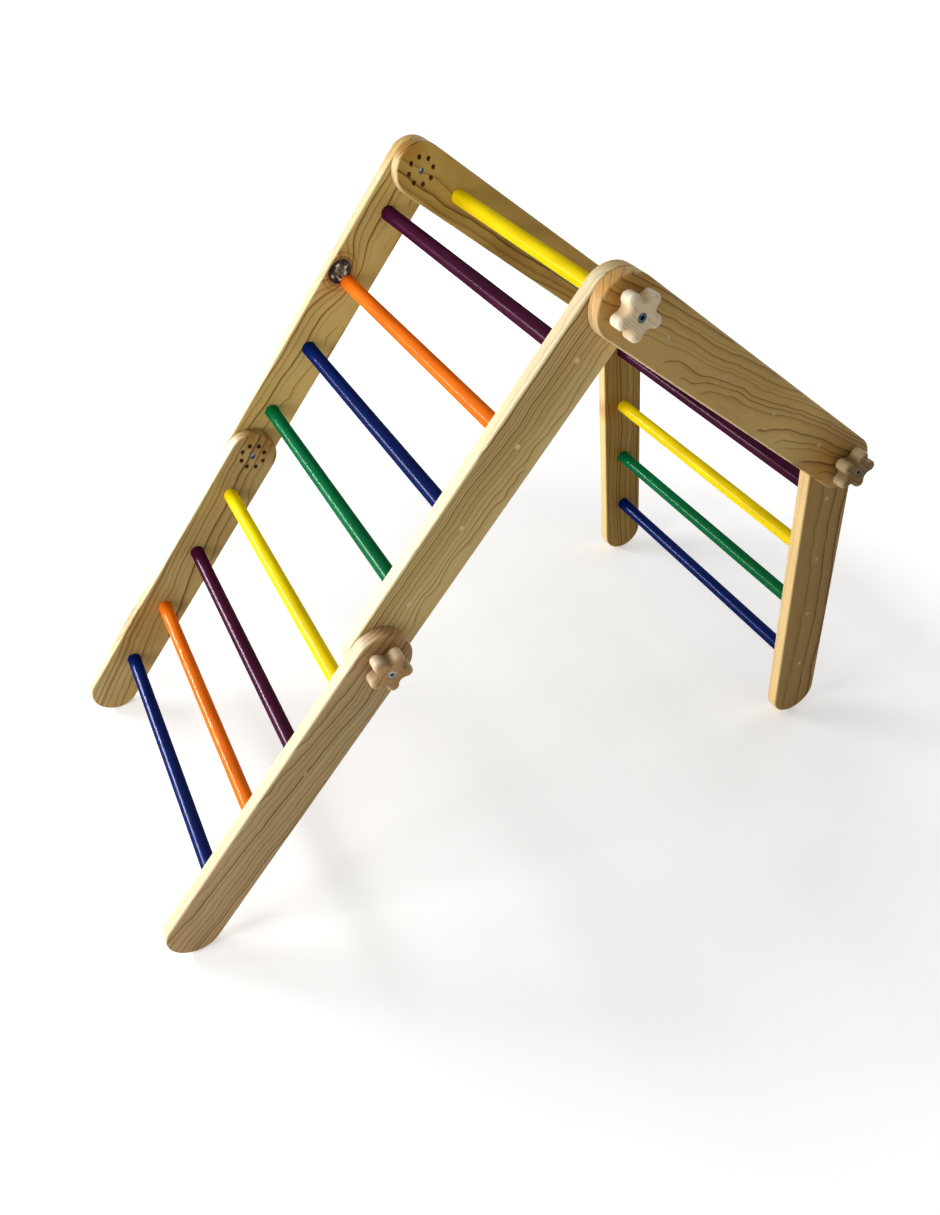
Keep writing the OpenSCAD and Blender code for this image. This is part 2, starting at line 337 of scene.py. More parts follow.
def grained_wood(name, spring, summer, line_width, wave_size, knots=(), patches=()):
    """Sawn wood: yearly rings round a heart that wanders beside the board, fine fibres, knots.

    It reads attributes of the piece: "plank", the place along, across and into its own board,
    "heart", where the heart ran across and into it and the spacing of the rings, "board", the
    rings' slant, the strength of the highlight painted on its edges and its warmth, "shade", the
    loss of each of its colours beside the wood's own, and "rim", one on its edges."""
    material, nodes, shader = new_material(name, {"Specular IOR Level": 0.08})
    read = lambda attribute: nodes.add("ShaderNodeAttribute", attribute_name=attribute)
    parts = lambda vector: nodes.add("ShaderNodeSeparateXYZ", {0: vector}).outputs
    plank = read("plank").outputs["Vector"]
    along = parts(plank)[0]
    heart_across, heart_under, spacing = parts(read("heart").outputs["Vector"])
    slant, edge_highlight, highlight_warmth = parts(read("board").outputs["Vector"])
    shade = nodes.vector("SUBTRACT", (1.0, 1.0, 1.0), read("shade").outputs["Vector"])
    rim = read("rim").outputs["Fac"]

    # The heart wanders beside the board, and the rings wave a little
    grain = lambda stretch, *detail: nodes.noise(nodes.scaled(plank, stretch), 1.0, *detail)
    drift = grain((2.1, 3.0, 3.0), 1.0)
    wave = grain((13.0, 12.0, 12.0), 2.0)
    swing = lambda noise, across, under: nodes.scaled(
        nodes.vector("SUBTRACT", noise.outputs["Color"], (0.5, 0.5, 0.5)),
        (0.0, across * wave_size, under * wave_size))
    bend = nodes.vector("ADD", swing(drift, 7, 5), swing(wave, 2, 2))
    across = nodes.vector("ADD", nodes.scaled(plank, (0.0, 1.0, 1.0)), bend)
    centre = nodes.add("ShaderNodeCombineXYZ", {1: heart_across, 2: heart_under})
    outwards = nodes.vector("SUBTRACT", across, centre)
    radius = nodes.vector("LENGTH", outwards)
    outward_parts = parts(nodes.vector("NORMALIZE", outwards))
    radius = nodes.times(along, slant, radius)

    # Each knot pushes the rings aside, reddens the wood round it and darkens its own disc
    knot_shade = knot_core = knot_rim = knot_rings = knot_halo = patch = gloom = 0.0
    from_spot = lambda middle, stretch: nodes.vector(
        "LENGTH", nodes.scaled(nodes.vector("SUBTRACT", plank, middle), stretch))
    # A level within the nearer distance, and nothing beyond the farther one, both in spot sizes
    within = lambda gap, size, near, far, level=1.0: nodes.spread(gap, near * size, far * size, level, 0.0)
    for middle, size in knots:
        gap = from_spot(middle, (0.85, 1.0, 0.25))
        push = nodes.math("EXPONENT", nodes.times(nodes.math("POWER", gap, 2.0), -0.30 / size ** 2))
        radius = nodes.times(push, 1.3 * size, radius)
        ragged = nodes.times(wave.outputs[0], 0.7 * size, nodes.minus(gap, 0.35 * size))
        knot_shade = nodes.most(knot_shade, within(ragged, size, 0.86, 1.0))
        knot_core = nodes.most(knot_core, within(ragged, size, 0.25, 0.55, 0.85))
        bark = nodes.math("ABSOLUTE", nodes.minus(ragged, 0.82 * size))
        knot_rim = nodes.most(knot_rim, within(bark, size, 0.06, 0.24))
        knot_halo = nodes.most(knot_halo, within(gap, size, 1.0, 2.3))
        uneven_gap = nodes.times(wave.outputs[0], 0.5 * size, gap)
        round_it = nodes.math("DIVIDE", uneven_gap, 3.0 * size)
        knot_rings = nodes.most(knot_rings, nodes.ramp(round_it, KNOT_RINGS))
    for middle, size, orange, dark in patches:
        gap = from_spot(middle, (0.8, 1.0, 0.3))
        patch = nodes.most(patch, within(gap, size, 0.3, 1.5, orange))
        gloom = nodes.most(gloom, within(gap, size, 0.3, 1.5, dark))

    # Yearly rings: a slow darkening, and a sharp step back to pale spring wood
    uneven = nodes.noise(radius, 75.0, 1.0, 0.5, "1D").outputs[0]
    ring_count = nodes.math("DIVIDE", nodes.times(uneven, 0.0093, radius), spacing)
    ring = nodes.math("FRACT", ring_count)
    # A ring that is cut at a flat angle is wide, but its dark line stays narrow
    on_face = nodes.math("SQRT", nodes.times(outward_parts[1], outward_parts[1], 0.025))
    on_rim = nodes.math("SQRT", nodes.times(outward_parts[2], outward_parts[2], 0.04))
    flatness = nodes.times(nodes.minus(on_rim, on_face), rim, on_face)
    behind = nodes.times(nodes.minus(1.0, ring), nodes.math("DIVIDE", spacing, flatness))
    # Rings wider than usual have broader dark lines
    widening = nodes.most(nodes.math("DIVIDE", spacing, USUAL_SPACING), 1.0)
    broadness = nodes.math("POWER", widening, 0.75)
    line = nodes.ramp(nodes.math("DIVIDE", behind, nodes.times(broadness, 8 * line_width)), LINE_PROFILE)
    line = nodes.times(line, nodes.spread(ring, 0.0, 0.06))
    line = nodes.times(line, nodes.spread(flatness, 0.165, 0.25, 0.05, 1.0))
    strength = nodes.noise(nodes.math("FLOOR", ring_count), 3.7, 0.0, 0.5, "1D").outputs[0]
    line = nodes.times(line, nodes.spread(strength, 0.30, 0.62, 0.45, 1.0))

    # The lines are faint on the narrow edges, under the painted highlight, but not in resin-rich wood
    faint = nodes.times(rim, nodes.minus(0.45, patch, clamp=True))
    line = nodes.times(line, nodes.minus(1.0, faint))

    # Fine fibres, short resin streaks and broad changes of tone
    fibre = grain((22.0, 900.0, 900.0), 3.0, 0.65).outputs[0]
    streak = nodes.spread(grain((60.0, 1300.0, 1300.0), 1.0).outputs[0], 0.70, 0.80, 0.0, 0.40)
    tone = nodes.spread(grain((3.2, 17.0, 17.0), 2.0).outputs[0], 0.33, 0.68)

    darker = lambda colour, by: tuple(c * f for c, f in zip(colour, by))
    pale = nodes.mix(tone, spring, darker(spring, (0.88, 0.81, 0.73)))
    dark = nodes.mix(tone, summer, darker(summer, (0.84, 0.76, 0.70)))
    colour = nodes.mix(line, pale, dark)
    colour = nodes.mix(nodes.spread(fibre, 0.35, 0.75, 0.0, 0.22), colour, summer)
    colour = nodes.mix(streak, colour, darker(summer, (0.75, 0.70, 0.65)))
    colour = nodes.vector("MULTIPLY", colour, shade)
    # A painted highlight lightens the narrow edges, less in resin-rich wood and least on its hard lines
    highlight_left = nodes.minus(edge_highlight, nodes.times(patch, 0.6), clamp=True)
    highlight_held_back = nodes.times(line, nodes.times(patch, 0.5, 0.2))
    highlight_left = nodes.times(highlight_left, nodes.minus(1.0, highlight_held_back))
    highlight_colour = nodes.mix(highlight_warmth, HIGHLIGHT_COOL, HIGHLIGHT_WARM)
    colour = nodes.mix(nodes.times(rim, highlight_left), colour, highlight_colour, "SCREEN")
    if patches:
        colour = nodes.mix(patch, colour, RESIN_ORANGE, "MULTIPLY")
        # Dark patches, one of them painted shade
        colour = nodes.mix(gloom, colour, RESIN_AND_SHADE_DARK, "MULTIPLY")
    if knots:
        knot_halo = nodes.times(knot_halo, nodes.spread(rim, 0.0, 1.0, 0.6, 0.0))
        colour = nodes.mix(knot_halo, colour, KNOT_HALO, "MULTIPLY")
        flecks = grain((95.0, 95.0, 50.0), 1.0, 0.45).outputs[0]
        knot_colour = nodes.mix(knot_core, nodes.ramp(flecks, KNOT_FLECKS), KNOT_CORE)
        knot_rings = nodes.times(knot_rings, nodes.minus(1.0, rim))
        colour = nodes.mix(knot_rings, colour, darker(summer, (0.9, 0.8, 0.7)))
        colour = nodes.mix(knot_shade, colour, knot_colour)
        colour = nodes.mix(nodes.times(knot_rim, 0.9), colour, KNOT_BARK)

    gloss = nodes.times(line, -0.08, nodes.times(fibre, 0.16, 0.42))
    height = nodes.times(line, 0.35, nodes.times(fibre, 0.5))
    if knots:
        height = nodes.times(knot_rim, -0.9, height)
    bump = nodes.add("ShaderNodeBump", {"Strength": 0.28, "Distance": 0.0004, "Height": height})
    nodes.set(shader, {"Base Color": colour, "Roughness": gloss, "Normal": bump})
    return material


def rail_bores(s, side):
    """Each hole as its centre along and across the rail, and its wall as depths under the rung
    face with the radius at each."""
    inner_x, outer_x = rail_faces(s, *SIDES[side > 0])
    thick = abs(outer_x - inner_x)
    outer = is_outer(s, side)
    mouth = lambda radius: [(0.0, radius + RIM_CHAMFER), (RIM_CHAMFER, radius)]
    plug_floor = thick - PLUG_BORE_DEPTH
    socket = mouth(SOCKET_RADIUS) + [
        (SOCKET_DEPTH, SOCKET_RADIUS), (SOCKET_DEPTH, SCREW_HOLE_RADIUS), (plug_floor, SCREW_HOLE_RADIUS),
        (plug_floor, PLUG_BORE_RADIUS), (thick, PLUG_BORE_RADIUS),
    ]
    through = lambda radius: mouth(radius) + [(thick - x, r) for x, r in reversed(mouth(radius))]
    blind = mouth(PIN_HOLE_RADIUS) + [(PIN_HOLE_DEPTH, PIN_HOLE_RADIUS)]
    bores = [((END_TO_RUNG + k * RUNG_PITCH, 0.0), socket) for k in range(RUNG_COUNT)]
    joint_ends = [0.0] if s > 0 else []
    if s < len(SECTIONS) - 1:
        joint_ends.append(section_length(s))
    for end in joint_ends:
        bores.append(((end, 0.0), through(BOLT_HOLE_RADIUS if outer else INSERT_HOLE_RADIUS)))
        for i in range(0, INDEX_COUNT, INDEX_COUNT // 2 if outer else 1):
            spot = circle(INDEX_RING_RADIUS, INDEX_COUNT, (end, 0.0))[i]
            bores.append((spot, blind if outer else through(PIN_HOLE_RADIUS)))
    return bores


def build_rail(s, side_name, side, material):
    END_STEPS = 56
    EDGE_STEPS = 6
    BORE_STEPS = 40
    rail_name = f"{SECTIONS[s]}_{side_name}"
    name = rail_name + "_rail"
    length = section_length(s)
    inner_x, outer_x = rail_faces(s, side_name, side)
    thick = abs(outer_x - inner_x)
    bm = bmesh.new()
    plank, heart, board, shade = vector_layers(bm, "plank", "heart", "board", "shade")
    rim = bm.verts.layers.float.new("rim")

    def outline(inset):
        radius = RAIL_WIDTH / 2 - inset
        turns = [math.pi * i / END_STEPS for i in range(END_STEPS + 1)]
        near = [(-radius * math.sin(t), radius * math.cos(t)) for t in turns]
        far = [(length + radius * math.sin(t), -radius * math.cos(t)) for t in turns]
        return near + far

    rings = rounded_edge(RAIL_EDGE_RADIUS, RAIL_EDGE_RADIUS, EDGE_STEPS)
    rings += [(thick - depth, inset) for depth, inset in reversed(rings)]
    loops = [add_ring(bm, outline(inset), depth) for depth, inset in rings]
    for loop, (depth, inset) in zip(loops, rings):
        for vert in loop:
            vert[rim] = 1.0 - inset / RAIL_EDGE_RADIUS
    join_rows(bm, loops)
    faces = {0.0: [loops[0]], thick: [loops[-1]]}
    for centre, wall in rail_bores(s, side):
        walls = [add_ring(bm, circle(radius, BORE_STEPS, centre), depth) for depth, radius in wall]
        join_rows(bm, walls)
        faces[0.0].append(walls[0])
        if wall[-1][0] >= thick:
            faces[thick].append(walls[-1])
        else:
            bm.faces.new(walls[-1])
    for borders in faces.values():
        fill_flat(bm, borders)

    for vert in bm.verts:
        depth, distance, place = vert.co
        vert[plank] = (plank_start(rail_name) + distance, place, depth)
        vert[heart], highlight_setting, own_shade = BOARDS[rail_name]
        vert[board] = highlight_setting
        vert[shade] = tuple(1.0 - level for level in own_shade)
        vert.co.x = inner_x + side * depth
    bm.transform(section_place(s))
    rail = finish_mesh(bm, name + "_board", material)
    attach(rail, SECTIONS[s])
    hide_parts(name)


oiled_pine = grained_wood(
    "oiled_pine", (0.68, 0.475, 0.190), (0.185, 0.080, 0.019), 0.0013, 0.0055,
    plank_spots(KNOTS), plank_spots(RESIN_AND_SHADE_PATCHES))
for s in range(len(SECTIONS)):
    for side_name, side in SIDES:
        build_rail(s, side_name, side, oiled_pine)


# Rungs.
# The sixteen rungs are beech dowels dipped in gloss paint, in five colours that follow one another
# over the frame. Each sits glued in two blind sockets and is drawn tight by a screw at each end.

RUNG_RADIUS = 0.0125
RUNG_END_EASE = 0.0012
RUNG_SCREW_DEPTH = 0.0407
RUNG_STEPS = 64
PAINTS = (
    ("blue", (0.0012, 0.010, 0.096)),
    ("orange", (0.88, 0.165, 0.008)),
    ("purple", (0.048, 0.0035, 0.022)),
    ("yellow", (0.98, 0.700, 0.004)),
    ("green", (0.0004, 0.130, 0.038)),
)


def gloss_paint(name, colour):
    material, nodes, shader = new_material("gloss_paint_" + name, {
        "Roughness": 0.35, "Specular IOR Level": 0.0, "Coat Weight": 0.03, "Coat IOR": 2.2})
    place = nodes.add("ShaderNodeTexCoord").outputs["Object"]
    runs = nodes.noise(nodes.scaled(place, (9.0, 60.0, 60.0)), 1.0, 2.0).outputs[0]
    scuff = nodes.noise(nodes.scaled(place, (38.0, 170.0, 170.0)), 1.0, 4.0, 0.7).outputs[0]
    deep = tuple(0.80 * c for c in colour)
    thin = tuple(min(1.0, 1.10 * c + 0.001) for c in colour)
    tint = nodes.mix(nodes.spread(runs, 0.3, 0.7), deep, thin)
    rubbed = nodes.spread(scuff, 0.68, 0.78, 0.0, 0.10)
    tint = nodes.mix(rubbed, tint, (0.55, 0.48, 0.40))
    gloss = nodes.spread(scuff, 0.30, 0.75, 0.20, 0.28)
    bump = nodes.add("ShaderNodeBump", {"Strength": 0.022, "Distance": 0.0005, "Height": runs})
    nodes.set(shader, {"Base Color": tint, "Coat Roughness": gloss, "Normal": bump, "Coat Normal": bump})
    return material


def turned_rings(bm, profile, steps):
    """Rings round the X axis, from a profile of (x, radius)."""
    return [add_ring(bm, circle(radius, steps), x) for x, radius in profile]


def close_off(bm, loops):
    """Walls from each loop to the next, and a face at each end."""
    join_rows(bm, loops)
    bm.faces.new(loops[0])
    bm.faces.new(loops[-1])


def build_rung(s, k, material, slot):
    name = f"{SECTIONS[s]}_rung_{k + 1}"
    low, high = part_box(name)
    middle = (low.x + high.x) / 2
    half = (high.x - low.x) / 2
    ease, part_ease = RUNG_END_EASE, 0.3 * RUNG_END_EASE
    end = [
        (half - RUNG_SCREW_DEPTH, SCREW_HOLE_RADIUS), (half, SCREW_HOLE_RADIUS),
        (half, RUNG_RADIUS - ease), (half - part_ease, RUNG_RADIUS - part_ease), (half - ease, RUNG_RADIUS),
    ]
    profile = [(-x, radius) for x, radius in end] + [(x, radius) for x, radius in reversed(end)]
    bm = bmesh.new()
    close_off(bm, turned_rings(bm, profile, RUNG_STEPS))
    bm.transform(section_place(s) @ Matrix.Translation((middle, END_TO_RUNG + k * RUNG_PITCH, 0.0)))
    rung = finish_mesh(bm, name + "_dowel", material)
    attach(rung, SECTIONS[s])
    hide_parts(name)


paint_materials = [(gloss_paint(*paint), "paint_" + paint[0]) for paint in PAINTS]
for s in range(len(SECTIONS)):
    for k in range(RUNG_COUNT):
        build_rung(s, k, *paint_materials[(s * RUNG_COUNT + k) % len(PAINTS)])


# Screws and plugs.
# A zinc-plated wood screw at each end of every rung pulls it into its sockets. Its head sits in a
# counterbore in the rail, and a turned wooden plug, cut from a paler board, is glued in over it.

SCREW_LENGTH = 0.045
SCREW_CREST = 0.00225
SCREW_CORE = 0.0015
SCREW_PITCH = 0.0022
SCREW_HEAD_RADIUS = 0.0037
SCREW_HEAD_HEIGHT = 0.003
SCREW_TIP_RADIUS = 0.0002
SCREW_POINT = 0.003
SCREW_NECK = 0.001
SCREW_STEPS = 16
# Places along the head, each with its radius as a share of the widest
SCREW_HEAD_PROFILE = ((0.0, 0.8), (0.0004, 1.0), (0.0016, 1.0), (0.0025, 0.86), (SCREW_HEAD_HEIGHT, 0.55))
CROSS_REACH = 0.0017
CROSS_CORNER = 0.0009
CROSS_FLOOR = 0.0012
PLUG_RADIUS = 0.0040
PLUG_START = 0.0033
PLUG_EASE = 0.0003
PLUG_STEPS = 32
PLUG_HEART = (0.004, -0.006, 0.0011)
# How pale the plugs of each section are
PLUG_SHADES = {"lower_ramp": 0.76, "upper_ramp": 1.34, "bridge": 0.92, "leg": 0.86}


def thread_rows(bm, start, end, core, crest, pitch, steps):
    """The rings of a screw thread along X, ready to be joined."""
    rows = round((end - start) / pitch * 4)
    loops = []
    for i in range(rows + 1):
        x = start + (end - start) * i / rows
        fade = min(1.0, 4.0 * min(i, rows - i) / rows)
        points = []
        for j in range(steps):
            turn = 2 * math.pi * j / steps
            phase = (x / pitch - j / steps) % 1.0
            radius = core + fade * (crest - core) * (1.0 - abs(2.0 * phase - 1.0))
            points.append(polar(radius, turn))
        loops.append(add_ring(bm, points, x))
    return loops


def mark_wood(bm, heart=(0.0, 0.0, 1.0), offset=(0.0, 0.0, 0.0), order=(0, 1, 2), highlight_setting=(0.0, 0.0)):
    """Writes what the wood reads: the place on the plank, the heart, and how strong and how warm the
    highlight painted on the edges is. Steel reads only the place."""
    plank_layer, heart_layer, board_layer = vector_layers(bm, "plank", "heart", "board")
    for vert in bm.verts:
        vert[plank_layer] = tuple(vert.co[order[i]] + offset[i] for i in range(3))
        vert[heart_layer] = heart
        vert[board_layer] = (0.0, *highlight_setting)


def steel(name, colour, roughness, dark_spots):
    """Plated steel with turning marks round its own axis and small dull spots."""
    material, nodes, shader = new_material(name, {"Metallic": 1.0})
    place = nodes.add("ShaderNodeAttribute", attribute_name="plank").outputs["Vector"]
    from_axis = nodes.vector("LENGTH", nodes.scaled(place, (0.0, 1.0, 1.0)))
    marks = nodes.noise(from_axis, 5200.0, 2.0, 0.6, "1D").outputs[0]
    cloud = nodes.noise(place, 260.0, 3.0).outputs[0]
    deep = tuple(0.72 * c for c in colour)
    plated = nodes.mix(nodes.spread(cloud, 0.35, 0.68), colour, deep)
    spots = nodes.spread(cloud, 0.66, 0.74, 0.0, dark_spots)
    plated = nodes.mix(spots, plated, (0.10, 0.085, 0.07))
    gloss = nodes.spread(cloud, 0.3, 0.7, roughness, roughness + 0.16)
    bump = nodes.add("ShaderNodeBump", {"Strength": 0.15, "Distance": 0.0001, "Height": marks})
    nodes.set(shader, {"Base Color": plated, "Roughness": gloss, "Normal": bump})
    return material


def screw_pattern(material):
    """One screw along X, its head's seat at the origin, with a cross recess in its head."""
    bm = bmesh.new()
    tip = add_ring(bm, circle(SCREW_TIP_RADIUS, SCREW_STEPS), -SCREW_LENGTH)
    thread = thread_rows(
        bm, -SCREW_LENGTH + SCREW_POINT, -SCREW_NECK, SCREW_CORE, SCREW_CREST, SCREW_PITCH, SCREW_STEPS)
    profile = [(x, share * SCREW_HEAD_RADIUS) for x, share in SCREW_HEAD_PROFILE]
    head = turned_rings(bm, profile, SCREW_STEPS)
    points = []
    for i in range(SCREW_STEPS):
        reach = CROSS_CORNER if i % 4 else CROSS_REACH
        points.append(polar(reach, 2 * math.pi * i / SCREW_STEPS))
    cross = [add_ring(bm, points, depth) for depth in (SCREW_HEAD_HEIGHT, CROSS_FLOOR)]
    close_off(bm, [tip] + thread + head + cross)
    mark_wood(bm)
    return finish_mesh(bm, "screw_pattern", material)


def plug_pattern(material):
    """One plug along X, its outer face at the origin."""
    bm = bmesh.new()
    depth = PLUG_BORE_DEPTH - PLUG_START
    ease, part_ease = PLUG_EASE, 0.35 * PLUG_EASE
    profile = [(-depth, PLUG_RADIUS - ease), (ease - depth, PLUG_RADIUS), (-ease, PLUG_RADIUS)]
    profile += [(-part_ease, PLUG_RADIUS - part_ease), (0.0, PLUG_RADIUS - ease)]
    close_off(bm, turned_rings(bm, profile, PLUG_STEPS))
    mark_wood(bm, PLUG_HEART, order=(1, 2, 0))
    return finish_mesh(bm, "plug_pattern", material)


def along_the_rails():
    """Sets copies of one piece at every rung, in the right rail and turned about in the left one."""
    tree = bpy.data.node_groups.new("along_the_rails", "GeometryNodeTree")
    sockets = (
        ("Piece", "Object"), ("Count", "Int"), ("First", "Float"), ("Pitch", "Float"), ("Reach", "Float"),
        ("Tilt", "Float"), ("Place", "Vector"), ("Shade", "Float"), ("Seed", "Int"), ("Finish", "Material"),
    )
    for label, kind in sockets:
        tree.interface.new_socket(label, in_out="INPUT", socket_type="NodeSocket" + kind)
    tree.interface.new_socket("Geometry", in_out="OUTPUT", socket_type="NodeSocketGeometry")
    nodes = Nodes(tree)
    given = nodes.add("NodeGroupInput").outputs
    xyz = lambda x=0.0, y=0.0, z=0.0: nodes.add("ShaderNodeCombineXYZ", {0: x, 1: y, 2: z}).outputs[0]
    points = nodes.add("GeometryNodeMeshLine", {
        "Count": given["Count"], "Start Location": xyz(y=given["First"]), "Offset": xyz(y=given["Pitch"])})
    piece = nodes.add("GeometryNodeObjectInfo", {"Object": given["Piece"]}).outputs["Geometry"]
    spin = nodes.add("FunctionNodeRandomValue", {3: 2 * math.pi, "Seed": given["Seed"]}, data_type="FLOAT")
    copies = nodes.add("GeometryNodeInstanceOnPoints", {
        "Points": points, "Instance": piece, "Rotation": xyz(x=spin.outputs[1])})

    def moved(geometry, place, turn=(0.0, 0.0, 0.0)):
        return nodes.add("GeometryNodeTransform", {
            "Geometry": geometry, "Translation": place, "Rotation": turn})

    right_side = moved(copies, xyz(x=given["Reach"]))
    left_side = moved(copies, xyz(x=nodes.times(given["Reach"], -1.0)), (0.0, math.pi, 0.0))
    both = nodes.add("GeometryNodeJoinGeometry")
    nodes.feed(both.inputs[0], left_side)
    nodes.feed(both.inputs[0], right_side)
    placed = moved(both, given["Place"], xyz(x=given["Tilt"]))

    def stored(geometry, label, value, domain="POINT"):
        inputs = {"Geometry": geometry, "Name": label, "Value": value}
        return nodes.add(
            "GeometryNodeStoreNamedAttribute", inputs, data_type="FLOAT_VECTOR", domain=domain)

    def read(label):
        node = nodes.add("GeometryNodeInputNamedAttribute", {"Name": label}, data_type="FLOAT_VECTOR")
        return node.outputs[0]

    own = nodes.add("FunctionNodeRandomValue", {"Seed": given["Seed"]}, data_type="FLOAT_VECTOR")
    tagged = stored(placed, "own", own.outputs[0], "INSTANCE")
    real = nodes.add("GeometryNodeRealizeInstances", {0: tagged})
    own_place = nodes.scaled(read("own"), (1.0, 0.002, 0.0))
    shifted = stored(real, "plank", nodes.vector("ADD", read("plank"), own_place))
    loss = nodes.minus(1.0, given["Shade"])
    shaded = stored(shifted, "shade", xyz(loss, loss, loss))
    finished = nodes.add("GeometryNodeSetMaterial", {"Geometry": shaded, "Material": given["Finish"]})
    nodes.add("NodeGroupOutput", {0: finished})
    return tree


def grown_piece(name, tree, **values):
    """Runs a tree once with its named inputs and keeps what it makes as a plain mesh."""
    piece = new_object(name, bpy.data.meshes.new(name))
    modifier = piece.modifiers.new("grow", "NODES")
    modifier.node_group = tree
    for item in tree.interface.items_tree:
        if item.in_out == "INPUT":
            modifier[item.identifier] = values[item.name]
    bpy.context.view_layer.update()
    depsgraph = bpy.context.evaluated_depsgraph_get()
    mesh = bpy.data.meshes.new_from_object(
        piece.evaluated_get(depsgraph), preserve_all_data_layers=True, depsgraph=depsgraph)
    piece.modifiers.clear()
    piece.data = mesh
    return piece


zinc_screw = steel("zinc_screw", (0.62, 0.62, 0.60), 0.30, 0.2)
plug_wood = grained_wood("plug_wood", (0.68, 0.55, 0.29), (0.47, 0.35, 0.15), 0.0002, 0.0006)
screw = screw_pattern(zinc_screw)
plug = plug_pattern(plug_wood)
rail_pairs = along_the_rails()
for s, section in enumerate(SECTIONS):
    right_inner, right_outer = rail_faces(s, "right", 1)
    middle = (right_inner + rail_faces(s, "left", -1)[0]) / 2
    to_face = right_outer - middle
    for node, pattern, reach, shade, finish, slot in (
        (section + "_screws", screw, to_face - PLUG_BORE_DEPTH, 1.0, zinc_screw, "screw_steel"),
        (section + "_plugs", plug, to_face, PLUG_SHADES[section], plug_wood, "plug_wood"),
    ):
        group = grown_piece(node + "_set", rail_pairs, Piece=pattern, Count=RUNG_COUNT, First=END_TO_RUNG,
            Pitch=RUNG_PITCH, Reach=reach, Tilt=section_tilt(s),
            Place=(middle, chain[s].y, chain[s].z), Shade=shade, Seed=s + 3, Finish=finish)
        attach(group, section)
        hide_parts(node)
for pattern in (screw, plug):
    bpy.data.objects.remove(pattern)


# Star knobs.
# Each joint is clamped on both sides by a five-armed wooden knob, tan at the ramp, ivory at the top
# and brown at the leg, sawn out and rounded by hand. A boss behind it keeps fingers off the rail.

KNOB_ARMS = 5
KNOB_ARM_REACH = 0.0243
KNOB_ARM_RADIUS = 0.0092
KNOB_HOLLOW_RADIUS = 0.0092
KNOB_BOSS_RADIUS = 0.015
KNOB_BOSS_HEIGHT = 0.007
# How far in and how far down the star's edges are rounded, in front and behind
KNOB_FRONT_ROUND = (0.0062, 0.0058)
KNOB_BACK_ROUND = (0.0028, 0.0028)
KNOB_BORE_RADIUS = 0.0041
HEAD_BORE_RADIUS = 0.0066
HEAD_SEAT = 0.0207
KNOB_RIM = 0.0007
KNOB_STEPS = 48
KNOB_EDGE_STEPS = 7
KNOB_ARM_STEPS = 20
KNOB_HOLLOW_STEPS = 9
KNOB_HEART = (0.018, 0.052, 0.0034)
KNOB_PLANK_STEP = 0.37
KNOB_TURNS = {"ramp_joint": -12.0, "top_joint": -25.0, "leg_joint": 8.0}
# Of each joint's knobs: the shade, how much of each colour the hollows lose to painted shade and
# some end grain, and how strong and how warm the highlight painted on the edges is
KNOB_FINISHES = {
    "ramp_joint": ((0.96, 0.92, 0.84), (0.56, 0.66, 0.75), (0.4, 0.0)),
    "top_joint": ((0.99, 0.98, 0.93), (0.20, 0.32, 0.46), (0.4, 0.0)),
    "leg_joint": ((0.38, 0.36, 0.27), (0.34, 0.42, 0.50), (0.45, 0.6)),
}
JOINT_SIDES = [(joint, *named_side) for joint in JOINTS for named_side in SIDES]


def outer_side(joint, side):
    """The section whose rail carries the knob at a joint's side, and the section with the index ring."""
    j = JOINTS.index(joint)
    return (j, j + 1) if is_outer(j, side) else (j + 1, j)


def star_outline(inset):
    """The knob's outline, drawn in by inset: the arms' round ends and the hollows between them."""
    half_step = math.pi / KNOB_ARMS
    beside = KNOB_ARM_REACH * math.sin(half_step)
    hollow_reach = KNOB_ARM_REACH * math.cos(half_step)
    hollow_reach += math.sqrt((KNOB_ARM_RADIUS + KNOB_HOLLOW_RADIUS) ** 2 - beside ** 2)
    hollow_along = hollow_reach * math.cos(half_step)
    lean = math.atan2(hollow_reach * math.sin(half_step), hollow_along - KNOB_ARM_REACH)
    sweep = lean - half_step
    points = []
    for arm in range(KNOB_ARMS):
        facing = 2 * half_step * arm
        middle = polar(KNOB_ARM_REACH, facing)
        for i in range(KNOB_ARM_STEPS):
            turn = facing + lean * (2 * i / KNOB_ARM_STEPS - 1)
            points.append(polar(KNOB_ARM_RADIUS - inset, turn, middle))
        facing += half_step
        middle = polar(hollow_reach, facing)
        for i in range(KNOB_HOLLOW_STEPS):
            turn = facing + math.pi + sweep * (1 - 2 * i / KNOB_HOLLOW_STEPS)
            points.append(polar(KNOB_HOLLOW_RADIUS + inset, turn, middle))
    return points


def set_at_joint(bm, joint, box, side):
    """Sets a shape that starts at x 0 in its box at its joint, turned outwards to its side."""
    start_x = box[0].x if side > 0 else box[1].x
    for vert in bm.verts:
        vert.co.x = start_x + side * vert.co.x
    bm.transform(Matrix.Translation(chain[JOINTS.index(joint) + 1]))


